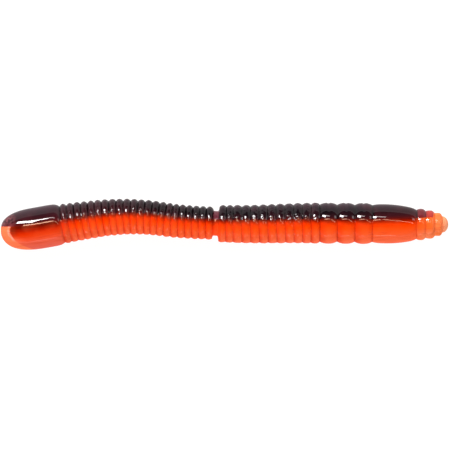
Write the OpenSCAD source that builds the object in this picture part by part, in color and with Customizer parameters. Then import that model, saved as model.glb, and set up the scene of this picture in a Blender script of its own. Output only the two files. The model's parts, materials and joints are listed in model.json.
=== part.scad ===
// Soft plastic worm lure: a ribbed stick bait poured as a dark back over an orange belly.
// It lies on its side. +X runs to the nose, +Y to the dark back and +Z up from the surface.
// The soft body bends at its grooves. Each run of ribs between two bending grooves is a link,
// and each bending groove is a neck that fills the space between the cone ends of two links.
// Link 0 is the tail bulb and the last link is the nose. Joint k is where link k starts.

/* [Tail bulb] */
// Length of the smooth bulb at the tail
bulb_len = 15.5; // [12:0.1:18]
// Largest radius of the bulb
bulb_r = 5.25; // [5:0.05:6]
// Distance from the first rib to the bulb's widest place
bulb_wide_at = 4.4; // [3:0.1:6]

/* [Rear ribs] */
// Ribs in each rear run, from the bulb to the waist
rear_runs = [4, 4, 4, 5, 5];
// Distance from rib to rib
rear_pitch = 1.72; // [1.7:0.01:2.1]
// Depth of a rear groove below the crests beside it
rear_groove = 0.42; // [0.2:0.02:0.6]
// Crest radius of the rib beside the bulb
rear_tail_r = 4.95; // [4.5:0.05:5.2]
// Crest radius of the rib beside the waist
rear_waist_r = 4.15; // [3.8:0.05:4.8]

/* [Waist] */
// Radius of the narrow waist
waist_r = 3.1; // [2.4:0.05:3.5]
// Length of the waist between its two ribs
waist_len = 1.55; // [1.5:0.05:3]

/* [Front ribs] */
// Ribs in each front run, from the waist to the wide rings
front_runs = [3, 3, 3, 3];
// Distance from rib to rib
front_pitch = 2.16; // [1.9:0.02:2.6]
// Distance from rib to rib for the narrow ribs beside the waist
narrow_pitch = 1.79; // [1.7:0.01:2.1]
// How many ribs beside the waist are narrow
narrow_ribs = 2; // [0:1:3]
// Depth of a front groove below the crests beside it
front_groove = 0.34; // [0.2:0.02:0.6]
// Crest radius of the rib beside the waist
front_waist_r = 4.65; // [4.2:0.05:5]
// Crest radius of the rib beside the wide rings
front_ring_r = 5.1; // [4.6:0.05:5.4]

/* [Wide rings] */
// Number of wide rings
rings = 3; // [2:1:4]
// Length of one wide ring
ring_len = 4.39; // [3.5:0.01:5.5]
// Crest radius of a wide ring
ring_r = 5.13; // [4.8:0.01:5.6]
// Depth of the grooves beside a wide ring
ring_groove = 0.52; // [0.3:0.02:0.8]

/* [Smooth collar] */
// Length of the smooth collar
collar_len = 11.05; // [9:0.05:14]
// Largest radius of the collar
collar_r = 4.91; // [4.6:0.01:5.4]
// Distance from the last wide ring to the collar's widest place
collar_wide_at = 3.05; // [2:0.05:4]
// How far the collar narrows to its nose end before its edge rounds off
collar_taper = 0.98; // [0.6:0.02:1.2]
// Extra drop of the rounded edge at the collar's nose end
collar_edge = 0.31; // [0.1:0.01:0.5]

/* [Nose] */
// Lengths of the three nose rings, from the collar to the tip
nose_len = [2.3, 2.3, 1.9];
// Crest radii of the three nose rings
nose_r = [3.93, 3.54, 2.88];
// Radii at the tip side of the three nose rings
nose_groove_r = [3.35, 2.84, 2.03];
// Length of the round tip past the last nose ring
tip_len = 1.5; // [1.2:0.05:2.5]

/* [Two layers] */
// Height of the dark layer's flat underside above the body's centreline
layer_h = 0.95; // [0.4:0.05:1.6]
// The same height on the nose, where the dark layer thins out
nose_layer_h = 1.75; // [1.2:0.05:2.4]
// How far short of the third nose ring the dark layer ends
layer_stop = 0.15; // [0.1:0.05:0.6]

/* [Bending] */
// Heading of each link as the worm lies, from the bulb to the nose, in degrees from +X
heading = [7.5, 8.5, 6, -0.5, -6.5, -3.5, -1.5, 0.5, 1.5, 0, -0.5, -1, 0.5];
// How far each neck bends each way, in degrees
bend = 12; // [6:0.5:12]
// Angle left open between two links at the end of a bend
bend_spare = 0.6; // [0.2:0.1:2]
// Thickness of a neck at the body's centreline
neck_core = 0.2; // [0.1:0.02:0.3]
// Gap between a neck and the link on each side of it
bond = 0.05; // [0.02:0.01:0.1]

/* [Hidden] */
$fn = 96;
BULB = 0;
WAIST = 1 + len(rear_runs);
RINGS = WAIST + len(front_runs);
COLLAR = RINGS + 1;
NOSE = COLLAR + 1;
LINKS = concat(
    ["tail_bulb"],
    [for (i = [1:len(rear_runs)]) str("rear_ribs_", i)],
    [for (i = [1:len(front_runs)]) str("front_ribs_", i)],
    ["wide_rings", "collar", "nose"]);
NECKS = concat(
    ["bulb_neck"],
    [for (i = [1:len(rear_runs) - 1]) str("rear_neck_", i)],
    ["waist"],
    [for (i = [1:len(front_runs) - 1]) str("front_neck_", i)],
    ["ring_neck", "collar_neck", "nose_neck"]);
LAYERS = ["back", "belly"];

back_colour = [0.16, 0.08, 0.12];
belly_colour = [0.96, 0.28, 0.06];
rib_steps = 6;        // straight steps along one rib's profile
ring_steps = 12;      // along a wide ring, the collar and each end of the bulb
rib_power = 2;        // a rib's profile is a parabola
ring_power = 5;       // a wide ring is nearly flat with round shoulders
nose_power = 2.6;
taper_power = 1.6;    // how the rear crests thin out towards the waist
root_power = 6;       // the bulb's round shoulder at its first rib
end_power = 3;        // the bulb's blunt round end is a superellipse
end_root = 0.435;
shoulder_power = 3;   // the collar's shoulder at the wide rings
edge_power = 12;      // the collar's rounded edge at the nose
neck_reach = 2.2;     // a neck is cut from this much of the outline on each side
wide = 1.5 * bulb_r;  // past every radius
far = 40;             // past every link

runs = concat(rear_runs, front_runs);
function total(v, n) = n <= 0 ? 0 : v[n - 1] + total(v, n - 1);
rear_ribs = total(rear_runs, len(rear_runs));
front_ribs = total(front_runs, len(front_runs));

// Ribs count from the bulb. Rib i is rear where i < rear_ribs.
function crest(i) = i < rear_ribs
    ? rear_waist_r + (rear_tail_r - rear_waist_r) * pow(1 - i / (rear_ribs - 1), taper_power)
    : front_waist_r + (front_ring_r - front_waist_r) * (i - rear_ribs) / (front_ribs - 1);
function pitch(i) = i < rear_ribs ? rear_pitch
    : i < rear_ribs + narrow_ribs ? narrow_pitch : front_pitch;
function depth(i) = i < rear_ribs ? rear_groove : front_groove;
function lone_end(i) = i == 0 || i == rear_ribs || i == rear_ribs + front_ribs;
function before_r(i) = lone_end(i) ? crest(i) - depth(i)
    : (crest(i - 1) + crest(i)) / 2 - depth(i);
function after_r(i) = lone_end(i + 1) ? crest(i) - depth(i) : before_r(i + 1);

// A profile is a list of [radius, distance along the link].
// One swelling from x0 to x1, with radius r0 at its start, rc in the middle and r1 at its end
function swelling(x0, x1, r0, rc, r1, power, steps) = [for (j = [0:steps])
    let (u = 2 * j / steps - 1)
    [rc - (u < 0 ? rc - r0 : rc - r1) * pow(abs(u), power), x0 + (x1 - x0) * j / steps]];
function joined(lists) = [for (i = [0:len(lists) - 1]) for (j = [i == 0 ? 0 : 1:len(lists[i]) - 1])
    lists[i][j]];

bulb_root_r = before_r(0);
function bulb_profile() = concat(
    [for (j = [0:ring_steps])
        let (u = cos(90 * j / ring_steps))
        [bulb_r * pow(1 - pow(u, end_power), end_root), (bulb_len - bulb_wide_at) * (1 - u)]],
    [for (j = [1:ring_steps])
        let (u = j / ring_steps)
        [bulb_r - (bulb_r - bulb_root_r) * pow(u, root_power),
            bulb_len - bulb_wide_at + bulb_wide_at * u]]);

function first_rib(k) = total(runs, k - 1);
function rib_x(i, i0) = i <= i0 ? 0 : pitch(i - 1) + rib_x(i - 1, i0);
function run_profile(k, x0) = let (i0 = first_rib(k))
    joined([for (i = [i0:i0 + runs[k - 1] - 1])
        swelling(x0 + rib_x(i, i0), x0 + rib_x(i + 1, i0), before_r(i), crest(i), after_r(i),
            rib_power, rib_steps)]);

last_rib = rear_ribs + front_ribs - 1;
ring_groove_r = ring_r - ring_groove;
function rings_profile() = joined([for (i = [0:rings - 1])
    swelling(i * ring_len, (i + 1) * ring_len, i == 0 ? after_r(last_rib) : ring_groove_r,
        ring_r, ring_groove_r, ring_power, ring_steps)]);

collar_end_r = collar_r - collar_taper - collar_edge;
function collar_profile() = joined([
    [for (j = [0:rib_steps])
        let (u = 1 - j / rib_steps)
        [collar_r - (collar_r - ring_groove_r) * pow(u, shoulder_power),
            collar_wide_at * (1 - u)]],
    [for (j = [0:ring_steps])
        let (u = sin(90 * j / ring_steps))
        [collar_r - collar_taper * u * u - collar_edge * pow(u, edge_power),
            collar_wide_at + (collar_len - collar_wide_at) * u]],
    swelling(collar_len, collar_len + nose_len[0], collar_end_r, nose_r[0], nose_groove_r[0],
        nose_power, rib_steps)]);

nose_rings_len = nose_len[1] + nose_len[2];
function nose_profile() = joined([
    swelling(0, nose_len[1], nose_groove_r[0], nose_r[1], nose_groove_r[1], nose_power, rib_steps),
    swelling(nose_len[1], nose_rings_len, nose_groove_r[1], nose_r[2], nose_groove_r[2],
        nose_power, rib_steps),
    [for (j = [0:ring_steps])
        let (a = 90 * j / ring_steps)
        [nose_groove_r[2] * cos(a), nose_rings_len + tip_len * sin(a)]]]);

half_waist = waist_len / 2;
function profile(k) = k == BULB ? bulb_profile()
    : k < WAIST ? run_profile(k, 0)
    : k == WAIST ? run_profile(k, half_waist)
    : k < RINGS ? run_profile(k, 0)
    : k == RINGS ? rings_profile()
    : k == COLLAR ? collar_profile()
    : nose_profile();
function profile_end(k) = let (p = profile(k)) p[len(p) - 1][1];
function link_len(k) = profile_end(k) + (k == WAIST - 1 ? half_waist : 0);

// Where the joints lie, with the middle of the bounding box at the origin
function step(k) = link_len(k) * [cos(heading[k]), sin(heading[k])];
function walk(k) = k == 0 ? [0, 0] : step(k - 1) + walk(k - 1);
path = [for (k = [0:NOSE + 1]) walk(k)];
path_r = concat([0], [for (k = [1:NOSE]) max([for (p = profile(k)) p[0]])], [0]);
bulb_mid = path[1] - bulb_wide_at * [cos(heading[0]), sin(heading[0])];
y_high = max([for (k = [1:NOSE]) path[k][1] + path_r[k]]);
y_low = min(concat([bulb_mid[1] - bulb_r], [for (k = [1:NOSE]) path[k][1] - path_r[k]]));
middle = [(path[0][0] + path[NOSE + 1][0]) / 2, (y_high + y_low) / 2];
function joint_at(k) = [path[k][0] - middle[0], path[k][1] - middle[1], bulb_r];
function turn(k) = heading[k] - heading[k - 1];
function cone(k) = k == WAIST ? 0 : (abs(turn(k)) + bend + bend_spare) / 2;
function half_gap(k) = k == WAIST ? half_waist : neck_core / 2;
for (k = [1:NOSE]) echo(joint = k, name = NECKS[k - 1], at = joint_at(k), heading = heading[k]);

// Lays a shape turned round Z along a heading in the XY plane, with its start at joint k
module laid(k, angle) {
    translate(joint_at(k))
        rotate([0, 90, angle])
            children();
}

// A profile closed along the centreline
function closed(p) = let (last = len(p) - 1) concat(
    p[0][0] > 0 ? [[0, p[0][1]]] : [],
    p,
    p[last][0] > 0 ? [[0, p[last][1]]] : []);

// The outline of link k turned to a solid, with a cone end at each bending groove
module link_body(k) {
    start = k == BULB || k == WAIST ? [-1, 0] : [half_gap(k), tan(cone(k))];
    end_x = profile_end(k);
    end = k == NOSE || k == WAIST - 1 ? [-1, 0] : [half_gap(k + 1), tan(cone(k + 1))];
    rotate_extrude()
        intersection() {
            polygon(closed(profile(k)));
            polygon([[0, start[0]], [wide, start[0] + wide * start[1]],
                [wide, end_x - end[0] - wide * end[1]], [0, end_x - end[0]]]);
        }
}

// Everything on the link's side of a neck, as far as its cone end. side is -1 or 1.
module link_side(k, side) {
    near = side * (half_gap(k) - bond);
    slope = side * tan(cone(k));
    rotate_extrude()
        polygon([[0, near], [wide, near + wide * slope], [wide, side * far], [0, side * far]]);
}

// The outline on both sides of joint k
module groove_body(k) {
    before = [for (p = profile(k - 1)) if (p[1] > profile_end(k - 1) - neck_reach)
        [p[0], p[1] - profile_end(k - 1)]];
    after = [for (p = profile(k)) if (p[1] > 0 && p[1] < neck_reach) p];
    rotate_extrude()
        polygon(closed(concat(before, after)));
}

module waist_body() {
    translate([0, 0, -half_waist])
        cylinder(r = waist_r, h = waist_len);
}

// Neck k, laid halfway between the headings of its two links
module neck_body(k) {
    difference() {
        if (k == WAIST) waist_body();
        else groove_body(k);
        rotate([turn(k) / 2, 0, 0]) link_side(k, -1);
        rotate([-turn(k) / 2, 0, 0]) link_side(k, 1);
    }
}

// The space of the dark layer over a link or neck: above a plane that rises by slope along it,
// and up to the distance stop
module dark_space(height, slope, stop) {
    translate([-far, height, 0])
        rotate([-slope, 0, 0])
            translate([0, 0, -far])
                cube([2 * far, far, far + stop]);
}

module link_dark_space(k) {
    if (k == COLLAR) dark_space(layer_h, atan((nose_layer_h - layer_h) / profile_end(k)), far);
    else if (k == NOSE) dark_space(nose_layer_h, 0, nose_len[1] - layer_stop);
    else dark_space(layer_h, 0, far);
}

module neck_dark_space(k) {
    dark_space(k == NOSE ? nose_layer_h : layer_h, 0, far);
}

module link_back(k) {
    color(back_colour)
        laid(k, heading[k])
            intersection() {
                link_body(k);
                link_dark_space(k);
            }
}

module link_belly(k) {
    color(belly_colour)
        laid(k, heading[k])
            difference() {
                link_body(k);
                link_dark_space(k);
            }
}

module neck_back(k) {
    color(back_colour)
        laid(k, heading[k] - turn(k) / 2)
            intersection() {
                neck_body(k);
                neck_dark_space(k);
            }
}

module neck_belly(k) {
    color(belly_colour)
        laid(k, heading[k] - turn(k) / 2)
            difference() {
                neck_body(k);
                neck_dark_space(k);
            }
}

for (k = [0:NOSE]) {
    link_back(k);
    link_belly(k);
}
for (k = [1:NOSE]) {
    neck_back(k);
    neck_belly(k);
}
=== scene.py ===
# %% [markdown]
# # A soft plastic worm, poured in two colours
# The real object is a ribbed fishing worm about 112 mm long, cast from soft plastic in two
# pours: an orange belly first, then a smoke-coloured back on top of it. This notebook dresses
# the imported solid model. It loads that model as a fixed frame, makes two closed skins for each
# place where the worm bends, gives them their plastic, and lights them on a white table.
# The back faces +Y, the nose points to +X, and the camera looks straight down.

# %% Load the frame
import json
import math
import bpy
import bmesh
from mathutils import Matrix, Vector

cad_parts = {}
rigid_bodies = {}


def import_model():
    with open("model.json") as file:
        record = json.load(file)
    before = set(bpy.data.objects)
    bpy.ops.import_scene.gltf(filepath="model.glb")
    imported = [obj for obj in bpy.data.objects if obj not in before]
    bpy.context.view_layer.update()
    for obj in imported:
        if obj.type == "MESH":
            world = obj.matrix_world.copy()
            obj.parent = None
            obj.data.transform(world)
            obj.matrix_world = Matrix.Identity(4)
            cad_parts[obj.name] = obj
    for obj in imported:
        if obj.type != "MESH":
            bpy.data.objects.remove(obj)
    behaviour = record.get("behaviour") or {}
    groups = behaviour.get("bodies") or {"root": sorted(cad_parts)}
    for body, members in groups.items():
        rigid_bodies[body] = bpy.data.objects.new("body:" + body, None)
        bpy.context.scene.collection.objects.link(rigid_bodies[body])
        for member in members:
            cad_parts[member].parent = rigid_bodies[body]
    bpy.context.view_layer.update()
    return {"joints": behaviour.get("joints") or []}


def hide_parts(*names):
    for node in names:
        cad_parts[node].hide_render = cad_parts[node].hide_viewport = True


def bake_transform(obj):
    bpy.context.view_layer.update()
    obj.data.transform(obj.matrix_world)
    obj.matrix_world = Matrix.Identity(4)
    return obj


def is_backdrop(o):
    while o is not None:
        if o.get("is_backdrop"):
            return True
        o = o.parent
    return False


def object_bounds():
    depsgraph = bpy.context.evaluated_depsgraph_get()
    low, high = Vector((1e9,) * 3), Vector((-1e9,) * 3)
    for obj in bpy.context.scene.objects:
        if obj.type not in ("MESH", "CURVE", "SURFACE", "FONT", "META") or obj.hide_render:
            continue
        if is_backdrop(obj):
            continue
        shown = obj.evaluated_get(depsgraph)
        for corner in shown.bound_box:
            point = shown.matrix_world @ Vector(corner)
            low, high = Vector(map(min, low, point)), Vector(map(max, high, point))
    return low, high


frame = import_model()

# %% [markdown]
# ## The camera first
# The photograph looks straight down on the worm from far away, so both flanks of the body are
# seen alike and nothing converges. An orthographic camera would do that too, but a long lens
# keeps the slight perspective of a real one, and the other views can reuse it. The picture is
# square and a quarter of a millimetre wide per pixel, and the worm nearly fills it.

# %% Camera
mm = 0.001
picture_width = 112.6 * mm
middle_height = 5.25 * mm
camera_distance = 900 * mm
sensor_width = 36
waist_above_middle = 0.42 * mm
joint_places = {(j["parent"], j["child"]): Vector(j["pos_m"]) for j in frame["joints"]}
waist_place = joint_places[("front_ribs_1", "rear_ribs_5")]
picture_centre = (0.08 * mm, waist_place.y - waist_above_middle)

camera = bpy.data.objects.new("camera", bpy.data.cameras.new("camera"))
bpy.context.scene.collection.objects.link(camera)
camera.data.sensor_width = sensor_width
camera.data.lens = sensor_width * camera_distance / picture_width
camera.data.clip_start, camera.data.clip_end = 0.01, 20
camera.location = (*picture_centre, middle_height + camera_distance)
bpy.context.scene.camera = camera
print("lens, mm:", round(camera.data.lens))

# %% [markdown]
# ## Writing node sums as plain sums
# Both the shapes and the finishes below are rules, and a rule is easiest to read as a formula.
# A long chain of Math nodes made one by one hides it. So one small class wraps a socket: adding,
# multiplying or raising two of them adds the Math node that does it, also when a plain number
# comes first, as in 1 - mask. Every other kind of node comes from one function.

# %% Nodes
def add_node(tree, kind, settings=None, sockets=None):
    """Adds one node: its settings first, then the values or links of its sockets."""
    node = tree.nodes.new(kind)
    for name, value in (settings or {}).items():
        if name == "stops":
            ramp = node.color_ramp
            for place, colour in value:
                known = [e for e in ramp.elements if abs(e.position - place) < 1e-6]
                (known[0] if known else ramp.elements.new(place)).color = colour
        else:
            setattr(node, name, value)
    for key, value in (sockets or {}).items():
        socket = node.inputs[key]
        if isinstance(value, Wire):
            tree.links.new(value.socket, socket)
        else:
            socket.default_value = value
    return node


class Wire:
    """One output socket, which can be used in sums."""

    def __init__(self, socket):
        self.socket = socket

    def __add__(self, other): return calc("ADD", self, other)
    def __radd__(self, other): return calc("ADD", other, self)
    def __sub__(self, other): return calc("SUBTRACT", self, other)
    def __rsub__(self, other): return calc("SUBTRACT", other, self)
    def __mul__(self, other): return calc("MULTIPLY", self, other)
    def __rmul__(self, other): return calc("MULTIPLY", other, self)
    def __truediv__(self, other): return calc("DIVIDE", self, other)
    def __rtruediv__(self, other): return calc("DIVIDE", other, self)
    def __pow__(self, other): return calc("POWER", self, other)
    def __gt__(self, other): return calc("GREATER_THAN", self, other)
    def __lt__(self, other): return calc("LESS_THAN", self, other)


def calc(operation, *values):
    """One Math node on wires and numbers."""
    tree = next(v.socket.id_data for v in values if isinstance(v, Wire))
    node = add_node(tree, "ShaderNodeMath", {"operation": operation}, dict(enumerate(values)))
    return Wire(node.outputs[0])


def kept_between(value, low, high):
    return calc("MINIMUM", calc("MAXIMUM", value, low), high)


def eased(value, start, end):
    """0 before start, 1 after end, and a smooth step between them. start may be the larger."""
    node = add_node(value.socket.id_data, "ShaderNodeMapRange",
                    {"interpolation_type": "SMOOTHSTEP"},
                    {0: value, 1: start, 2: end, 3: 0.0, 4: 1.0})
    return Wire(node.outputs[0])


def noise(tree, where, scale=1.0, detail=1.0, seed=None):
    """Soft random values from 0 to 1. A seed picks one of many patterns."""
    settings, sockets = None, {"Vector": where, "Scale": scale, "Detail": detail}
    if seed is not None:
        settings, sockets["W"] = {"noise_dimensions": "4D"}, seed
    return Wire(add_node(tree, "ShaderNodeTexNoise", settings, sockets).outputs[0])


def point_of(tree, x, y, z=0.0):
    """Three wires or numbers as one vector."""
    return Wire(add_node(tree, "ShaderNodeCombineXYZ", None, {0: x, 1: y, 2: z}).outputs[0])


print("node sums ready")

# %% [markdown]
# ## The worm's sizes
# These repeat the sizes of the solid model, because a finished skin has to sit where its solid
# is. Distances run along the body from the tail tip. Each size has the name that a mould maker
# would give it. Typing each rib's place would take fewer names, but then no size could change
# without the rest going wrong.

# %% Sizes
bulb_length = 15.5 * mm
bulb_radius = 5.25 * mm
bulb_widest = 4.4 * mm

rear_ribs, rear_pitch, rear_groove = 22, 1.72 * mm, 0.42 * mm
rear_tail_crest, rear_waist_crest = 4.95 * mm, 4.15 * mm

waist_length, waist_radius = 1.55 * mm, 3.1 * mm

narrow_ribs, narrow_pitch = 2, 1.79 * mm
front_ribs, front_pitch, front_groove = 10, 2.16 * mm, 0.34 * mm
front_waist_crest, narrow_last_crest, front_first_crest, front_ring_crest = (
    4.65 * mm, 4.69 * mm, 4.73 * mm, 5.1 * mm)

rings, ring_length, ring_radius, ring_groove = 3, 4.39 * mm, 5.13 * mm, 0.52 * mm

collar_length, collar_radius, collar_widest = 11.05 * mm, 4.91 * mm, 3.05 * mm
collar_taper, collar_edge = 0.98 * mm, 0.31 * mm
collar_end_radius = collar_radius - collar_taper - collar_edge

nose_lengths = [2.3 * mm, 2.3 * mm, 1.9 * mm]
nose_crests = [3.93 * mm, 3.54 * mm, 2.88 * mm]
nose_grooves = [3.35 * mm, 2.84 * mm, 2.03 * mm]
tip_length = 1.5 * mm

pour_line_height, nose_line_height = 0.95 * mm, 1.75 * mm

rear_start = bulb_length
waist_start = rear_start + rear_ribs * rear_pitch
narrow_start = waist_start + waist_length
front_start = narrow_start + narrow_ribs * narrow_pitch
rings_start = front_start + front_ribs * front_pitch
collar_start = rings_start + rings * ring_length
nose_start = collar_start + collar_length
second_ring = nose_start + nose_lengths[0]
third_ring = second_ring + nose_lengths[1]
tip_start = third_ring + nose_lengths[2]
worm_length = tip_start + tip_length
dark_end = third_ring - 0.15 * mm
print("length along the body, mm:", round(worm_length * 1000, 2))

# %% [markdown]
# ## The centreline
# The worm doesn't lie straight: it keeps a slight S from its packet. The solid model bends at
# twelve joints, and each stretch between two of them is straight. A soft body has no corners,
# so the skins follow a Bezier curve through the same joints with automatic handles, which turns
# evenly. A drawn polyline with the same points would show a kink at every joint.

# %% Centreline
links = ["tail_bulb"] + [f"rear_ribs_{i}" for i in range(1, 6)] + \
    [f"front_ribs_{i}" for i in range(1, 5)] + ["wide_rings", "collar", "nose"]
necks = ["bulb_neck"] + [f"rear_neck_{i}" for i in range(1, 5)] + ["waist"] + \
    [f"front_neck_{i}" for i in range(1, 4)] + ["ring_neck", "collar_neck", "nose_neck"]
joints = [joint_places.get((a, b)) or joint_places[(b, a)] for a, b in zip(links, links[1:])]

# The bulb droops a little at its blunt end, and the nose points almost straight ahead.
tail_tip = joints[0] + Vector((-15.4, -1.69, 0)) * mm
bulb_bend = tail_tip + Vector((5.8, 0.2, 0)) * mm
nose_heading = Vector((1, 0.009, 0)).normalized()
nose_tip = joints[-1] + (worm_length - second_ring) * nose_heading
curve_places = [tail_tip, bulb_bend, *joints, nose_tip]

line = bpy.data.curves.new("centreline", "CURVE")
line.dimensions = "3D"
line.resolution_u = 64
spline = line.splines.new("BEZIER")
spline.bezier_points.add(len(curve_places) - 1)
for point, place in zip(spline.bezier_points, curve_places):
    point.co = place
    point.handle_left_type = point.handle_right_type = "AUTO"
centreline = bpy.data.objects.new("centreline", line)
bpy.context.scene.collection.objects.link(centreline)
print("centreline through", len(joints), "joints, mm:", round(spline.calc_length() * 1000, 2))

# %% [markdown]
# ## The outline as a rule
# Seen from the side, the body is a row of swellings: twenty-two fine ribs, a bare waist, twelve
# wider ribs, three wide rings and the small rings of the nose. Modelling each rib by hand would
# take days and they would not match. A rule does it: a node tree that takes a distance from the
# tail and gives the radius there. One small tree makes any run of equal ribs, and a second makes
# one lone swelling. Each tree has named inputs, so that a learner can open it and try a size.

# %% Tree with named inputs
def new_tree(name, inputs, outputs):
    """A node tree with named inputs and outputs: the tree, its input wires and its output node."""
    tree = bpy.data.node_groups.new(name, "GeometryNodeTree")
    for label, kind, start in inputs:
        socket = tree.interface.new_socket(
            name=label, in_out="INPUT", socket_type="NodeSocket" + kind)
        if start is not None:
            socket.default_value = start
    for label, kind in outputs:
        tree.interface.new_socket(name=label, in_out="OUTPUT", socket_type="NodeSocket" + kind)
    given = tree.nodes.new("NodeGroupInput")
    result = tree.nodes.new("NodeGroupOutput")
    return tree, {s.name: Wire(s) for s in given.outputs if s.name}, result


def use(tree, group, values):
    """Puts one tree inside another and returns its outputs by name."""
    node = add_node(tree, "GeometryNodeGroup", {"node_tree": group}, values)
    return {s.name: Wire(s) for s in node.outputs}


def send(tree, result, wires):
    for label, wire in wires.items():
        tree.links.new(wire.socket, result.inputs[label])


print("helpers for trees ready")

# %% [markdown]
# A run of ribs is a distance divided by the pitch. The whole part says which rib it is, and the
# rest says where on the rib, from -1 in one groove over 0 at the crest to 1 in the next. A power
# of that place shapes the crest: 2 gives a round rib, and more gives a flatter one with steeper
# sides. A distance exactly on an end of the run still has to count, so the tests have a little
# slack.

# %% A run of ribs
slack = 1e-5
end_slack = 1e-8
rib_run, given, result = new_tree(
    "rib run",
    [("Distance", "Float", 0.0), ("Start", "Float", 0.0), ("Pitch", "Float", rear_pitch),
     ("Ribs", "Float", 4.0), ("First crest", "Float", rear_tail_crest),
     ("Last crest", "Float", rear_waist_crest), ("Taper power", "Float", 1.0),
     ("Groove depth", "Float", rear_groove), ("Rib power", "Float", 2.0)],
    [("Radius", "Float"), ("Groove", "Float"), ("Middle", "Float"), ("Phase", "Float")])

steps = (given["Distance"] - given["Start"]) / given["Pitch"]
last_rib = given["Ribs"] - 1
rib = kept_between(calc("FLOOR", steps), 0.0, last_rib)
across_rib = 2 * (steps - rib) - 1
neighbour = kept_between(rib + calc("SIGN", across_rib), 0.0, last_rib)


def crest_of(number):
    return given["Last crest"] + (given["First crest"] - given["Last crest"]) * (
        (1 - number / last_rib) ** given["Taper power"])


crest = crest_of(rib)
groove_radius = (crest + crest_of(neighbour)) / 2 - given["Groove depth"]
hollow = calc("ABSOLUTE", across_rib) ** given["Rib power"]
inside = (steps > -slack) * (steps < given["Ribs"] + slack)
send(rib_run, result, {
    "Radius": (crest - (crest - groove_radius) * hollow) * inside,
    "Groove": kept_between(hollow * inside, 0.0, 1.0),
    "Middle": inside * (1 - calc("MINIMUM", calc("ABSOLUTE", across_rib), 1.0)),
    "Phase": inside * kept_between(across_rib, -1.0, 1.0)})
print("rib run:", len(rib_run.nodes), "nodes")

# %% One lone swelling
swelling, given, result = new_tree(
    "swelling",
    [("Distance", "Float", 0.0), ("Start", "Float", 0.0), ("End", "Float", 1.0),
     ("Start radius", "Float", 1.0), ("Crest radius", "Float", 1.0), ("End radius", "Float", 1.0),
     ("Power", "Float", 2.6)],
    [("Radius", "Float"), ("Groove", "Float")])

part = (given["Distance"] - given["Start"]) / (given["End"] - given["Start"])
off_middle = kept_between(2 * part - 1, -1.0, 1.0)
past_middle = off_middle > 0.0
low_radius = given["Start radius"] + (given["End radius"] - given["Start radius"]) * past_middle
hollow = calc("ABSOLUTE", off_middle) ** given["Power"]
inside = (part > -slack) * (part < 1 + slack)
send(swelling, result, {
    "Radius": (given["Crest radius"] - (given["Crest radius"] - low_radius) * hollow) * inside,
    "Groove": hollow * inside})
print("swelling:", len(swelling.nodes), "nodes")

# %% [markdown]
# The bulb at the tail and the smooth collar near the nose are no swellings of this kind. The
# bulb has a blunt end like a superellipse and a small round shoulder at its first rib. The
# collar swells quickly out of the last ring's groove, then narrows slowly and drops over a
# rounded edge. Both are short formulas, so they go straight into the outline's own tree.

# %% The outline's tree, and the bulb
bulb_bluntness, bulb_fullness, shoulder_power = 3, 0.435, 6
outline, given, result = new_tree(
    "worm outline",
    [("Distance", "Float", 0.0), ("Bulb length", "Float", bulb_length),
     ("Bulb radius", "Float", bulb_radius), ("Bulb widest place", "Float", bulb_widest),
     ("Waist radius", "Float", waist_radius), ("Collar radius", "Float", collar_radius),
     ("Collar widest place", "Float", collar_widest), ("Collar taper", "Float", collar_taper),
     ("Collar edge", "Float", collar_edge), ("Tip length", "Float", tip_length)],
    [("Radius", "Float"), ("Groove", "Float"), ("Ring middle", "Float"), ("Phase", "Float")])
far = given["Distance"]

bulb_end = given["Bulb length"] - given["Bulb widest place"]
from_widest = kept_between(1 - far / bulb_end, 0.0, 1.0)
shoulder = kept_between((far - bulb_end) / given["Bulb widest place"], 0.0, 1.0) ** shoulder_power
on_bulb = far < given["Bulb length"] + end_slack
bulb = given["Bulb radius"] * (1 - from_widest ** bulb_bluntness) ** bulb_fullness \
    - (given["Bulb radius"] - (rear_tail_crest - rear_groove)) * shoulder
print("bulb from 0 to", round(bulb_length / mm, 1), "mm")

# %% Ribs, waist and wide rings
rear = use(outline, rib_run, {
    "Distance": far, "Start": rear_start, "Pitch": rear_pitch, "Ribs": rear_ribs,
    "First crest": rear_tail_crest, "Last crest": rear_waist_crest, "Taper power": 1.6,
    "Groove depth": rear_groove})
waist = use(outline, swelling, {
    "Distance": far, "Start": waist_start, "End": narrow_start,
    "Start radius": rear_waist_crest - rear_groove, "Crest radius": given["Waist radius"],
    "End radius": front_waist_crest - front_groove, "Power": 7.0})
narrow = use(outline, rib_run, {
    "Distance": far, "Start": narrow_start, "Pitch": narrow_pitch, "Ribs": narrow_ribs,
    "First crest": front_waist_crest, "Last crest": narrow_last_crest,
    "Groove depth": front_groove})
front = use(outline, rib_run, {
    "Distance": far, "Start": front_start, "Pitch": front_pitch, "Ribs": front_ribs,
    "First crest": front_first_crest, "Last crest": front_ring_crest,
    "Groove depth": front_groove})
wide = use(outline, rib_run, {
    "Distance": far, "Start": rings_start, "Pitch": ring_length, "Ribs": rings,
    "First crest": ring_radius, "Last crest": ring_radius, "Groove depth": ring_groove,
    "Rib power": 2.4})
print("ribs and rings:", rear_ribs, "+", narrow_ribs + front_ribs, "+", rings)

# %% Collar, nose rings and tip
rise_power, taper_power, edge_power = 3, 2, 12
collar_rise = kept_between(
    1 - (far - collar_start) / given["Collar widest place"], 0.0, 1.0) ** rise_power
collar_fall = kept_between((far - collar_start - given["Collar widest place"]) / (
    collar_length - given["Collar widest place"]), 0.0, 1.0)
on_collar = (far > collar_start - end_slack) * (far < nose_start + end_slack)
collar = given["Collar radius"] \
    - (given["Collar radius"] - (ring_radius - ring_groove)) * collar_rise \
    - given["Collar taper"] * collar_fall ** taper_power \
    - given["Collar edge"] * collar_fall ** edge_power

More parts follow.
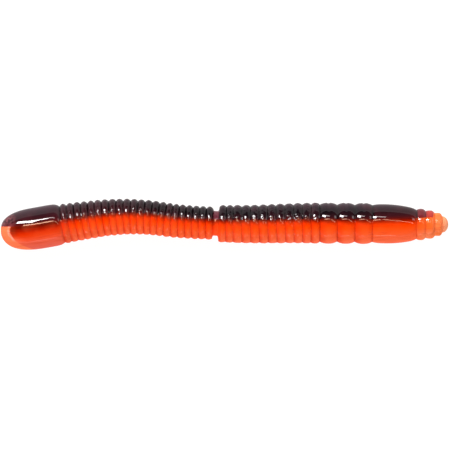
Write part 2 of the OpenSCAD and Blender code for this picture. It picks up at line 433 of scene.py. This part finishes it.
nose_rings = []
before = collar_end_radius
begin = nose_start
for length, crest_radius, after in zip(nose_lengths, nose_crests, nose_grooves):
    nose_rings.append(use(outline, swelling, {
        "Distance": far, "Start": begin, "End": begin + length, "Start radius": before,
        "Crest radius": crest_radius, "End radius": after}))
    begin, before = begin + length, after

along_tip = kept_between((far - tip_start) / given["Tip length"], 0.0, 1.0)
on_tip = far > tip_start - end_slack
tip = nose_grooves[-1] * calc("SQRT", calc("MAXIMUM", 1 - along_tip * along_tip, 0.0))
print("nose rings:", len(nose_rings))

# %% All of them in one outline
radius = calc("MAXIMUM", bulb * on_bulb, collar * on_collar)
radius = calc("MAXIMUM", radius, tip * on_tip)
collar_groove = calc("MAXIMUM", collar_rise, collar_fall ** edge_power)
groove = calc("MAXIMUM", on_bulb * shoulder, on_collar * collar_groove)
for form in [rear, waist, narrow, front, wide, *nose_rings]:
    radius = calc("MAXIMUM", radius, form["Radius"])
    if form is not waist:
        groove = calc("MAXIMUM", groove, form["Groove"])
phase = rear["Phase"] + narrow["Phase"] + front["Phase"] + wide["Phase"]
send(outline, result, {"Radius": radius, "Groove": groove, "Ring middle": wide["Middle"],
                       "Phase": phase})
print("outline:", len(outline.nodes), "nodes")

# %% [markdown]
# ## One skin from the rule
# A skin is a piece of the body between two grooves, in one of the two colours. Its section is a
# round cut off by the flat face where the two pours met, like a D. The quickest sweep would be
# Curve to Mesh, but that scales the whole section with the radius, and the flat face would go
# up and down with every rib. So the tree starts from a plain capped cylinder and moves each of
# its points: the height of a point becomes a distance along the worm, its turn becomes a place
# on the arc or on the flat face. The caps stay closed because the cylinder's are. The grooves of
# the real worm are deeper on the back than on the belly, so the section sinks a little towards
# the belly in each groove. A faint wobble keeps the ribs from being perfect copies, and small
# dents in them break the highlights into sparks, as the soft real ones do.

# %% The skin's tree
skin_tree, given, result = new_tree(
    "worm skin",
    [("Centreline", "Object", None), ("From", "Float", 0.0), ("To", "Float", 10 * mm),
     ("Round start", "Float", 0.0), ("Round end", "Float", 0.0), ("Back", "Float", 1.0),
     ("Steps along", "Int", 100), ("Arc steps", "Int", 60), ("Flat steps", "Int", 12),
     ("Pour line height", "Float", pour_line_height),
     ("Nose line height", "Float", nose_line_height),
     ("Dark layer end", "Float", dark_end), ("Groove sink", "Float", 0.14 * mm),
     ("Ring notch", "Float", 0.16 * mm), ("Wobble", "Float", 0.05 * mm),
     ("Dents", "Float", 0.13 * mm), ("Dents per mm", "Float", 1.4), ("Seed", "Float", 3.0),
     ("Finish", "Material", None)],
    [("Geometry", "Geometry")])

around = given["Arc steps"] + given["Flat steps"]
tube = add_node(skin_tree, "GeometryNodeMeshCylinder", {"fill_type": "NGON"}, {
    "Vertices": around, "Side Segments": given["Steps along"], "Radius": 1.0, "Depth": 1.0})
place = add_node(skin_tree, "GeometryNodeInputPosition")
parts = add_node(skin_tree, "ShaderNodeSeparateXYZ", None, {0: Wire(place.outputs[0])})
tube_x, tube_y, tube_z = (Wire(s) for s in parts.outputs)

part = tube_z + 0.5
quarter = part * (math.pi / 2)
part = part + given["Round start"] * (1 - calc("COSINE", quarter) - part) \
    + given["Round end"] * (calc("SINE", quarter) - part)
distance = given["From"] + (given["To"] - given["From"]) * part
shape = use(skin_tree, outline, {"Distance": distance})
print("skin tree starts with", len(skin_tree.nodes), "nodes")

# %% [markdown]
# The line between the two pours runs along the body a little above its middle, climbs from the
# collar on, and leaves the body at the third nose ring, which is all orange. The arcsine of its
# height on the round gives the angle of the corner there. The points around the cylinder are
# then dealt out from corner to corner, first over the arc and then over the flat face.

# %% Where the two pours met
sink_fade, end_fade, just_outside = 1.5 * mm, 0.5 * mm, 1.02
before_rings = eased(distance, rings_start, rings_start - sink_fade)
sink = shape["Groove"] * given["Groove sink"] * before_rings
line_rise = kept_between((distance - collar_start) / (second_ring - collar_start), 0.0, 1.0)
line_height = given["Pour line height"] + line_rise * (
    given["Nose line height"] - given["Pour line height"])
run_out = eased(distance, given["Dark layer end"] - end_fade, given["Dark layer end"])
line_height = line_height + run_out * (shape["Radius"] * just_outside - line_height)
corner = calc("ARCSINE", kept_between((line_height + sink) / shape["Radius"], -1.0, 1.0))

step_number = calc("FRACT", calc("ARCTAN2", tube_y, tube_x) / (2 * math.pi)) * around
on_arc = kept_between(step_number / given["Arc steps"], 0.0, 1.0)
on_flat = kept_between((step_number - given["Arc steps"]) / given["Flat steps"], 0.0, 1.0)
belly = 1 - given["Back"]
first_angle = given["Back"] * corner + belly * (math.pi - corner)
last_angle = given["Back"] * (math.pi - corner) + belly * (2 * math.pi + corner)
angle = first_angle + (last_angle - first_angle) * on_arc
print("with the pour line,", len(skin_tree.nodes), "nodes")

# %% [markdown]
# A hard copy of the mould would look like painted metal. A slow noise makes the ribs a little
# unlike each other, and a fine one dents them. The wide rings are smoother, and each has a
# shallow notch in its back, which splits the highlight there.

# %% Softness: wobble, dents and the notch in each wide ring
wobbles_per_metre, wobbles_around, calm_share = 420, 1.4, 0.25
towards_back = calc("SINE", angle)
upward = calc("COSINE", angle)
on_ribs = eased(distance, rear_start, rear_start + 0.5 * mm) \
    * eased(distance, rings_start + 1 * mm, rings_start - 1 * mm)

spot = point_of(skin_tree, distance * wobbles_per_metre, towards_back * wobbles_around,
                upward * wobbles_around)
wobble = (noise(skin_tree, spot, seed=given["Seed"]) - 0.5) * 2 * given["Wobble"] \
    * (shape["Radius"] / bulb_radius) * (calm_share + (1 - calm_share) * on_ribs)

per_metre = given["Dents per mm"] * 1000
fine_spot = point_of(skin_tree, distance * per_metre, shape["Radius"] * towards_back * per_metre,
                     shape["Radius"] * upward * per_metre)
dents = (noise(skin_tree, fine_spot, seed=given["Seed"] + 5) - 0.5) * 2 * given["Dents"] * on_ribs

notch = given["Ring notch"] * eased(shape["Ring middle"], 0.74, 1.0) \
    * eased(towards_back, 0.4, 0.95)
print("with wobble and dents,", len(skin_tree.nodes), "nodes")

# %% From angle and radius to a place
reach = shape["Radius"] + wobble + dents - notch
across = reach * towards_back - sink
height = reach * upward + on_flat * (2 * given["Back"] - 1) * 2 * reach * calc("COSINE", corner)

path = add_node(skin_tree, "GeometryNodeObjectInfo", None, {"Object": given["Centreline"]})
sample = add_node(
    skin_tree, "GeometryNodeSampleCurve", {"mode": "LENGTH", "use_all_curves": True},
    {"Curves": Wire(path.outputs["Geometry"]), "Length": distance})


def vector_sum(operation, first, second):
    """One Vector Math node. second is the scale where the operation is SCALE."""
    key = "Scale" if operation == "SCALE" else 1
    node = add_node(skin_tree, "ShaderNodeVectorMath", {"operation": operation},
                    {0: first, key: second})
    return Wire(node.outputs[0])


side = vector_sum("CROSS_PRODUCT", (0.0, 0.0, 1.0), Wire(sample.outputs["Tangent"]))
sideways = vector_sum("SCALE", side, across)
target = vector_sum("ADD", Wire(sample.outputs["Position"]), sideways)
target = vector_sum("ADD", target, point_of(skin_tree, 0.0, 0.0, height))
print("with each point's place,", len(skin_tree.nodes), "nodes")

# %% [markdown]
# The finishes need to know where a point lies on the worm, and the moved mesh no longer says so.
# Four values are therefore stored on the points before they move: the distance along the body,
# the height above the pour line, how deep in a groove, and where on its rib. Cylinder points that
# land on one spot, at the round ends, are merged. The edge between the round and the flat face
# stays crisp, and everything else is smooth.

# %% Keep what the finishes need, then move the points
crisp_angle = math.radians(35)
same_place = 1e-6
mesh = Wire(tube.outputs["Mesh"])
for label, wire in {"along_mm": distance * 1000, "rise_mm": (across - line_height) * 1000,
                    "groove": shape["Groove"], "phase": shape["Phase"]}.items():
    kept = add_node(skin_tree, "GeometryNodeStoreNamedAttribute",
                    {"data_type": "FLOAT", "domain": "POINT"},
                    {"Geometry": mesh, "Name": label, "Value": wire})
    mesh = Wire(kept.outputs[0])
moved = add_node(skin_tree, "GeometryNodeSetPosition", None,
                 {"Geometry": mesh, "Position": target})
merged = add_node(skin_tree, "GeometryNodeMergeByDistance", None, {
    "Geometry": Wire(moved.outputs[0]), "Distance": same_place})
flipped = add_node(skin_tree, "GeometryNodeFlipFaces", None, {"Mesh": Wire(merged.outputs[0])})
smooth = add_node(skin_tree, "GeometryNodeSetShadeSmooth", {"domain": "FACE"}, {
    "Geometry": Wire(flipped.outputs[0]), "Shade Smooth": True})
edge_angle = add_node(skin_tree, "GeometryNodeInputMeshEdgeAngle")
crisp = add_node(skin_tree, "GeometryNodeSetShadeSmooth", {"domain": "EDGE"}, {
    "Geometry": Wire(smooth.outputs[0]), "Shade Smooth": False,
    "Selection": Wire(edge_angle.outputs["Unsigned Angle"]) > crisp_angle})
real = add_node(skin_tree, "GeometryNodeRealizeInstances", None,
                {"Geometry": Wire(crisp.outputs[0])})
dressed = add_node(skin_tree, "GeometryNodeSetMaterial", None, {
    "Geometry": Wire(real.outputs[0]), "Material": given["Finish"]})
send(skin_tree, result, {"Geometry": Wire(dressed.outputs[0])})
print("skin:", len(skin_tree.nodes), "nodes")

# %% [markdown]
# ## Two plastics
# Both pours are the same soft, oily plastic with different dye, and light goes a little way into
# each. Real glass-like transparency would need the whole worm as one clear solid and long
# render times. The light and shade in the depth are painted into the colour instead: the colour
# of a point depends on how far it is from the pour line, how deep it lies in a groove and how
# far along the worm it is. A clear coat on top makes the wet shine.

# %% Colours and finishes
def dye(red, green, blue):
    """A colour as a colour picker gives it, 0 to 255, as the linear values that shaders use."""
    return tuple(((c / 255 + 0.055) / 1.055) ** 2.4 if c > 10 else c / 255 / 12.92
                 for c in (red, green, blue)) + (1.0,)


def new_finish(name):
    material = bpy.data.materials.new(name)
    material.use_nodes = True
    return material, material.node_tree


def surface_of(tree):
    return tree.nodes["Principled BSDF"]


def kept_value(tree, label):
    node = add_node(tree, "ShaderNodeAttribute", {"attribute_name": label})
    return Wire(node.outputs["Fac"])


def ramp(tree, value, stops):
    """A colour ramp whose stops are given in the value's own range."""
    low, high = stops[0][0], stops[-1][0]
    node = add_node(tree, "ShaderNodeValToRGB",
                    {"stops": [((p - low) / (high - low), c) for p, c in stops]},
                    {0: (value - low) / (high - low)})
    return Wire(node.outputs["Color"])


def mixed(tree, amount, first, second):
    node = add_node(tree, "ShaderNodeMix", {"data_type": "RGBA"}, {0: amount, 6: first, 7: second})
    return Wire(node.outputs[2])


def cloud(tree, per_metre):
    """Soft random blotches on the piece's own coordinates."""
    where = add_node(tree, "ShaderNodeTexCoord")
    return noise(tree, Wire(where.outputs["Object"]), per_metre, 2.0)


print("dyes ready")

# %% [markdown]
# The belly's colour is its orange dye with painted shade and painted light. It is darkest right
# under the pour line, painted shade where the smoke-coloured back shades it, then a deep red
# orange, and lighter coral towards the far side, painted light and reflection. The bulb is
# duller and darker. Each is a ramp over the depth under the pour line, and the two meet behind
# the bulb. Here and in the cells below, depths and places along the body are in millimetres.

# %% Belly plastic: colour by depth
belly_finish, tree = new_finish("orange_belly_plastic")
along, rise, hollow, phase = (kept_value(tree, label)
                              for label in ("along_mm", "rise_mm", "groove", "phase"))
deep = 0 - rise
# orange dye with painted shade under the pour line and painted light towards the far side
body_dye_and_lighting = ramp(tree, deep, [
    (0.0, dye(78, 10, 6)), (0.3, dye(112, 16, 3)), (0.7, dye(164, 32, 1)), (1.1, dye(208, 48, 0)),
    (1.7, dye(234, 62, 0)), (2.6, dye(242, 76, 14)), (3.6, dye(248, 90, 38)),
    (4.6, dye(250, 100, 56)), (5.6, dye(250, 108, 70)), (6.6, dye(240, 106, 76))])
# the bulb's dye with the same painted shade and painted light
bulb_dye_and_lighting = ramp(tree, deep, [
    (0.0, dye(74, 10, 5)), (0.5, dye(98, 13, 2)), (1.2, dye(148, 22, 2)), (2.0, dye(202, 40, 1)),
    (2.8, dye(220, 58, 12)), (3.6, dye(236, 78, 42)), (4.5, dye(236, 92, 64)),
    (5.4, dye(230, 96, 76)), (6.6, dye(216, 94, 82))])
colour = mixed(tree, eased(along, 16.2, 14.2), body_dye_and_lighting, bulb_dye_and_lighting)
print("belly by depth:", len(tree.nodes), "nodes")

# %% [markdown]
# The blunt end has its own painted light and shade, as the thin plastic there is lit from behind
# too: a pale coral rim of painted light, a pink crescent in it that is a painted highlight, and a
# painted dark red shadow behind it towards the pour line. All three follow one curve, which bends
# further along the body away from a depth of 1 mm. The far part of the end is painted paler too,
# as painted light shining through it.

# %% Belly plastic: the blunt end
rim_place, rim_depth, rim_bend = 2.4, 1.0, 0.2
from_rim = along - rim_place - rim_bend * (deep - rim_depth) ** 2
# painted light where the thin end is lit from behind
lit_through_end = eased(along, 6.5, 2.5) * eased(deep, 2.4, 3.6)
end_shadow = eased(from_rim, 0.0, 0.5) * eased(along, 5.2, 2.8) * eased(deep, 3.4, 0.9)
# painted light along the rim, and a painted highlight crescent inside it
rim = eased(from_rim, 0.25, -0.15)
crescent_highlight = eased(from_rim, -0.75, -0.25) * eased(from_rim, 0.3, -0.05) * eased(deep, 4.1, 2.6) \
    * eased(cloud(tree, 1000.0), 0.25, 0.6)
behind_bulb = eased(along, 19.5, 15.6) * eased(along, 14.8, 15.4)
colour = mixed(tree, lit_through_end * 0.7, colour, dye(255, 118, 78))
colour = mixed(tree, end_shadow * 0.9, colour, dye(112, 20, 3))
colour = mixed(tree, rim * 0.9, colour, dye(255, 124, 80))
colour = mixed(tree, crescent_highlight * 0.8, colour, dye(252, 176, 160))
colour = mixed(tree, behind_bulb * 0.4, colour, dye(176, 48, 32))
print("with the blunt end:", len(tree.nodes), "nodes")

# %% [markdown]
# The nose is thin, so light shines through it and it turns peach towards the tip. Elsewhere each
# rib shades its neighbour: the sides of a rib and the bottom of a groove are a deeper red. Last
# come faint blotches, and streaks along the smooth parts, as the plastic flowed in the mould.

# %% Belly plastic: nose, ribs and streaks
near_nose = eased(along, 103.4, 106.8)
elsewhere = 1 - near_nose
colour = mixed(tree, near_nose * 0.8, colour, dye(246, 106, 40))
colour = mixed(tree, near_nose * eased(deep, 2.4, 4.6) * 0.7, colour, dye(246, 142, 98))
colour = mixed(tree, eased(along, 107.0, 109.4), colour, dye(246, 124, 68))
colour = mixed(tree, eased(along, 110.0, 111.8) * 0.9, colour, dye(248, 172, 132))

rib_shade = eased(phase, 0.0, -0.85) * 0.62 + eased(phase, 0.72, 1.0) * 0.45
colour = mixed(tree, rib_shade * eased(deep, 0.2, 1.2) * elsewhere, colour, dye(222, 44, 2))
colour = mixed(tree, eased(hollow, 0.7, 1.0) * 0.5 * elsewhere, colour, dye(170, 26, 2))

blotches = eased(cloud(tree, 260.0), 0.35, 0.75)
streaks = eased(noise(tree, point_of(tree, along * 0.16, rise * 2.6), 1.0, 2.0), 0.5, 0.72)
on_smooth = kept_between(eased(along, 15.8, 15.0) + eased(along, 92.0, 92.6), 0.0, 1.0)
colour = mixed(tree, blotches * 0.1, colour, dye(255, 120, 70))
colour = mixed(tree, streaks * on_smooth * 0.3, colour, dye(190, 44, 12))
belly_parts = {"Base Color": colour}
print("belly plastic:", len(tree.nodes), "nodes")

# %% [markdown]
# The back is smoke plastic: nearly black where it is thick, and wine red where it thins out over
# the orange, along the bulb and rear ribs, at the waist and on the first nose ring. Towards its
# far edge it turns a little lighter and more purple, partly its dye and partly painted reflection.
# Its grooves are darker still, which is painted shade, and its blunt end has pale patches of
# painted sheen.

# %% Back plastic
back_finish, tree = new_finish("smoke_back_plastic")
along, rise, hollow = (kept_value(tree, label) for label in ("along_mm", "rise_mm", "groove"))
# the dye; the lighter far edge of both ramps is partly painted reflection
thick_dye_and_sheen = ramp(tree, rise, [
    (0.0, dye(92, 20, 14)), (0.3, dye(60, 16, 18)), (0.8, dye(34, 14, 20)), (1.6, dye(16, 10, 14)),
    (2.6, dye(24, 12, 20)), (4.4, dye(50, 29, 42))])
wine_dye_and_sheen = ramp(tree, rise, [
    (0.0, dye(104, 18, 12)), (0.3, dye(80, 18, 18)), (0.9, dye(62, 20, 26)), (1.8, dye(48, 18, 24)),
    (2.8, dye(42, 20, 28)), (4.4, dye(54, 36, 46))])
wine = eased(along, 46.0, 20.0) * 0.85 + eased(along, 90.0, 94.0) * 0.6 \
    + eased(along, 101.0, 105.5) * 0.4
at_waist = eased(along, 53.1, 53.6) * eased(along, 55.0, 54.6)
# painted shade in the grooves
groove_shade = eased(hollow, 0.4, 1.0) * eased(along, 106.0, 104.0)
# pale patches of painted sheen on the blunt end
blunt_end_sheen = eased(along, 4.6, 2.2) * eased(cloud(tree, 1100.0), 0.35, 0.75)
smoke = eased(cloud(tree, 300.0), 0.4, 0.8)
colour = mixed(tree, kept_between(wine, 0.0, 1.0), thick_dye_and_sheen, wine_dye_and_sheen)
colour = mixed(tree, at_waist * 0.7, colour, dye(112, 52, 66))
colour = mixed(tree, eased(along, 103.9, 104.9) * 0.7, colour, dye(118, 38, 44))
colour = mixed(tree, eased(along, 106.3, 107.2) * 0.85, colour, dye(176, 56, 46))
colour = mixed(tree, groove_shade * 0.85, colour, dye(8, 4, 6))
colour = mixed(tree, blunt_end_sheen * 0.6, colour, dye(150, 78, 86))
colour = mixed(tree, smoke * 0.15, colour, dye(96, 40, 52))
back_parts = {"Base Color": colour}
print("back plastic:", len(tree.nodes), "nodes")

# %% [markdown]
# Both pours have the same wet shine, so one loop gives it to both. The clear coat carries all of
# the gloss. Its weight falls towards the rim of the body, because the real plastic reflects
# little of the table there. Under the coat the ribs are smoother than the bulb and the rings,
# with a fine bump.

# %% The wet coat, the same on both
matt_roughness, ribs_smoother, uneven = 0.9, 0.68, 0.12
for material, values, rim_loss in ((belly_finish, belly_parts, 0.95),
                                   (back_finish, back_parts, 0.55)):
    tree = material.node_tree
    surface = surface_of(tree)
    layer_weight = add_node(tree, "ShaderNodeLayerWeight", None, {"Blend": 0.5})
    turned_away = Wire(layer_weight.outputs["Facing"])
    values["Coat Weight"] = 1 - rim_loss * eased(turned_away, 0.1, 0.32)
    along = kept_value(tree, "along_mm")
    ribbed = eased(along, 15.6, 16.4) * eased(along, 79.0, 78.0)
    values["Roughness"] = matt_roughness - ribbed * (ribs_smoother - uneven * cloud(tree, 900.0))
    for label, wire in values.items():
        tree.links.new(wire.socket, surface.inputs[label])
    surface.inputs["Specular IOR Level"].default_value = 0.0
    surface.inputs["Coat IOR"].default_value = 1.5
    surface.inputs["Coat Roughness"].default_value = 0.05
    bump = add_node(tree, "ShaderNodeBump", None, {
        "Strength": 0.8, "Distance": 0.08 * mm, "Height": ribbed * cloud(tree, 1300.0)})
    tree.links.new(bump.outputs["Normal"], surface.inputs["Normal"])
print("finishes:", belly_finish.name, back_finish.name)

# %% [markdown]
# ## Twelve pairs of skins
# Each pair spans one joint: it starts in a groove of one link and ends in a groove of the next.
# A joint then lies in the middle of a skin, and two skins always meet in a groove that belongs
# to one rigid link. The tree is put on an empty object as a modifier, its inputs are set by their
# identifiers, and the result becomes a plain mesh.

# %% Where the skins are cut
rear_cuts = [rear_start + n * rear_pitch for n in (2, 6, 10, 15, 19)]
front_cuts = [narrow_start + narrow_pitch] + [front_start + n * front_pitch for n in (3, 5, 9)]
cuts = [0.0, *rear_cuts, *front_cuts, rings_start + ring_length, nose_start, worm_length]
joint_distances = [rear_start + n * rear_pitch for n in (0, 4, 8, 12, 17)] + \
    [waist_start + waist_length / 2, front_start + front_pitch] + \
    [front_start + n * front_pitch for n in (4, 7, 10)] + [collar_start, second_ring]
identifiers = {s.name: s.identifier for s in skin_tree.interface.items_tree
               if s.in_out == "INPUT"}
start_height = pour_line_height + 0.04 * mm
dark_tail = (bulb_length - bulb_widest) * (
    1 - (1 - (start_height / bulb_radius) ** (1 / bulb_fullness)) ** (1 / bulb_bluntness))
print("cuts, mm:", [round(c * 1000, 1) for c in cuts], "back starts at", round(dark_tail * 1000, 3))


# %% Making one skin
def make_skin(name, finish, **values):
    """One skin as a plain mesh. An underscore in a value's name stands for a space."""
    holder = bpy.data.objects.new(name, bpy.data.meshes.new(name + "_start"))
    bpy.context.scene.collection.objects.link(holder)
    modifier = holder.modifiers.new("skin", "NODES")
    modifier.node_group = skin_tree
    modifier[identifiers["Centreline"]] = centreline
    modifier[identifiers["Finish"]] = finish
    for label, value in values.items():
        modifier[identifiers[label.replace("_", " ")]] = value
    graph = bpy.context.evaluated_depsgraph_get()
    made = bpy.data.meshes.new_from_object(holder.evaluated_get(graph),
                                           preserve_all_data_layers=True, depsgraph=graph)
    holder.modifiers.remove(modifier)
    holder.data = made
    made.name = name
    return holder


def on_centreline(distance):
    """The place at that distance on the joints' polyline, for the blend's two ends."""
    marks = [0.0, *joint_distances, worm_length]
    places = [tail_tip, *joints, nose_tip]
    for a, b, p, q in zip(marks, marks[1:], places, places[1:]):
        if distance <= b + 1e-9:
            return p.lerp(q, (distance - a) / (b - a))
    return nose_tip


# %% Twelve places, two layers
step_along, fewest_steps = 0.07 * mm, 60
arc_steps = {"back": 76, "belly": 84}
skins = {}
for k, neck in enumerate(necks):
    for layer, finish in (("back", back_finish), ("belly", belly_finish)):
        start, end = cuts[k], cuts[k + 1]
        if layer == "back":
            start, end = max(start, dark_tail), min(end, dark_end)
        skins[(layer, neck)] = make_skin(
            f"{layer}_at_{neck}", finish, From=start, To=end,
            Back=1.0 if layer == "back" else 0.0,
            Round_start=1.0 if k == 0 else 0.0,
            Round_end=1.0 if neck == necks[-1] and layer == "belly" else 0.0,
            Steps_along=max(fewest_steps, round((end - start) / step_along)),
            Arc_steps=arc_steps[layer])
bpy.data.objects.remove(centreline)
print("skins:", len(skins), "with", sum(len(s.data.polygons) for s in skins.values()), "faces")

# %% Are they closed, and do they face outwards?
total = 0.0
for skin in skins.values():
    check = bmesh.new()
    check.from_mesh(skin.data)
    volume = check.calc_volume(signed=True)
    open_edges = sum(1 for e in check.edges if not e.is_manifold)
    total += volume
    if open_edges or volume < 0:
        print(skin.name, "volume mm3", round(volume * 1e9, 1), "open edges", open_edges)
    check.free()
print("volume of all skins, cm3:", round(total * 1e6, 2))

# %% [markdown]
# ## The skins in place of the solid's parts
# A skin that rode on one body would tear at its joint, so each would need a blend between the
# two links that its joint joins, centred on the joint and reaching as far as the nearer cut. The
# ends of such a blend are worked out here, but not used: each skin stays a plain mesh where it
# was made, and the parts of the solid that it stands for are hidden. Rounding throws one order of
# rear_neck_1 far off when every joint is at its limit; its branch does the same as the rest.

# %% Blend ends, and the solid's parts hidden
longest_reach = 5 * mm
for k, neck in enumerate(necks):
    here = joint_distances[k]
    reach = min(here - cuts[k], cuts[k + 1] - here, longest_reach)
    start, end = on_centreline(here - reach), on_centreline(here + reach)
    for layer in ("back", "belly"):
        skin = skins[(layer, neck)]
        if neck == "rear_neck_1":
            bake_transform(skin)
        else:
            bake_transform(skin)
        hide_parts(f"{links[k]}_{layer}", f"{neck}_{layer}", f"{links[k + 1]}_{layer}")
print("joined", len(skins), "skins")

# %% [markdown]
# ## White table and soft light
# The photograph's ground is pure white. A white sheet lit only from above would catch a grey
# shadow, so this is a light table: it glows a little itself. Its edge curves up all round, which
# keeps the horizon white from any side.

# %% Table
table_finish, tree = new_finish("white_light_table")
surface = surface_of(tree)
grain = cloud(tree, 40.0)
tree.links.new(mixed(tree, grain, dye(98, 98, 98), dye(106, 106, 106)).socket,
               surface.inputs["Base Color"])
surface.inputs["Roughness"].default_value = 0.6
surface.inputs["Specular IOR Level"].default_value = 0.1
surface.inputs["Emission Color"].default_value = (1.0, 1.0, 1.0, 1.0)
surface.inputs["Emission Strength"].default_value = 0.95

sheet = bpy.data.meshes.new("light_table")
table_radius, wall_bend, segments = 1.7, 0.6, 96
turns = [2 * math.pi * i / segments for i in range(segments)]
edges = [(table_radius + wall_bend * math.sin(math.radians(a)),
          wall_bend * (1 - math.cos(math.radians(a)))) for a in range(0, 91, 6)]
points = [(0.0, 0.0, 0.0)] + [(r * math.cos(turn), r * math.sin(turn), z)
                              for r, z in edges for turn in turns]
faces = [(0, 1 + i, 1 + (i + 1) % segments) for i in range(segments)]
for ring in range(len(edges) - 1):
    low, high = 1 + ring * segments, 1 + (ring + 1) * segments
    faces += [(low + i, high + i, high + (i + 1) % segments, low + (i + 1) % segments)
              for i in range(segments)]
sheet.from_pydata(points, [], faces)
sheet.polygons.foreach_set("use_smooth", [True] * len(faces))
sheet.materials.append(table_finish)
table = bpy.data.objects.new("light_table", sheet)
bpy.context.scene.collection.objects.link(table)
table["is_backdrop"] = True
print("table:", len(faces), "faces")

# %% [markdown]
# The highlights on wet plastic are pictures of the lights, so each light is found from one. The
# bright row of spots along the back is the main light: on the dark side, over forty degrees from
# straight up, long and not very tall, with a dimmer end towards the nose. The peach line beside
# the pour line, on every rib and ring, is a warm strip nearer to straight up, and a second one
# further right gives the slanted streaks of the rings. A weak light on the right and a low strip
# in front add the last small glints. The fill light only lifts the belly's colour, so the gloss
# doesn't see it. The world is brighter near the horizon, which lights the flanks.

# %% Soft boxes
light_distance = 1.5


def soft_box(name, sideways, forward, width, depth, slant, brightness, colour=(1, 1, 1)):
    """An area light aimed at the worm. The angles are from straight up: sideways towards +X,
    forward towards +Y. width and depth are angles too, and slant turns it in its own plane."""
    light = bpy.data.lights.new(name, "AREA")
    light.shape = "RECTANGLE"
    light.size = 2 * light_distance * math.tan(math.radians(width / 2))
    light.size_y = 2 * light_distance * math.tan(math.radians(depth / 2))
    light.energy = brightness * math.pi * light.size * light.size_y
    light.color = colour
    box = bpy.data.objects.new(name, light)
    bpy.context.scene.collection.objects.link(box)
    away = Vector((math.tan(math.radians(sideways)), math.tan(math.radians(forward)), 1))
    away.normalize()
    across = Vector((0, 1, 0)).cross(away).normalized()
    turn = math.radians(slant)
    long_side = math.cos(turn) * across + math.sin(turn) * away.cross(across)
    sides = Matrix((long_side, away.cross(long_side), away)).transposed()
    box.matrix_world = Matrix.Translation(away * light_distance) @ sides.to_4x4()
    return box


soft_box("main_light", -31, 43.5, 25, 10, -4, 46)
soft_box("main_light_end", -7, 42.5, 21, 4.5, -8, 12, (1.0, 0.88, 0.88))
soft_box("warm_strip", -13, 23, 22, 4.5, 4, 22, (1.0, 0.58, 0.38))
soft_box("warm_strip_right", 20, 17.5, 46, 3, -28, 10, (1.0, 0.6, 0.4))
soft_box("right_light", 49, 42, 13, 14, -20, 3)
soft_box("front_strip", -18, -76, 34, 3, 0, 4)
fill = soft_box("fill_light", 0, -62, 80, 40, 0, 1.9)
fill.visible_glossy = False

# %% World
dim, extra, high_up, low_down = 0.05, 0.75, 0.75, 0.22
world = bpy.data.worlds.new("studio")
bpy.context.scene.world = world
world.use_nodes = True
tree = world.node_tree
towards = add_node(tree, "ShaderNodeTexCoord")
sky = add_node(tree, "ShaderNodeSeparateXYZ", None, {0: Wire(towards.outputs["Generated"])})
glow = dim + extra * eased(Wire(sky.outputs["Z"]), high_up, low_down)
tree.links.new(glow.socket, tree.nodes["Background"].inputs["Strength"])
bpy.context.scene.view_settings.view_transform = "Standard"
print("world ready")

# %% [markdown]
# ## Measure and finish
# The skins must not outgrow the solid model, so the box of the dressed model is printed.

# %% Size of the dressed model, and the last line
low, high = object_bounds()
print("dressed model, mm:", [round((b - a) * 1000, 2) for a, b in zip(low, high)])
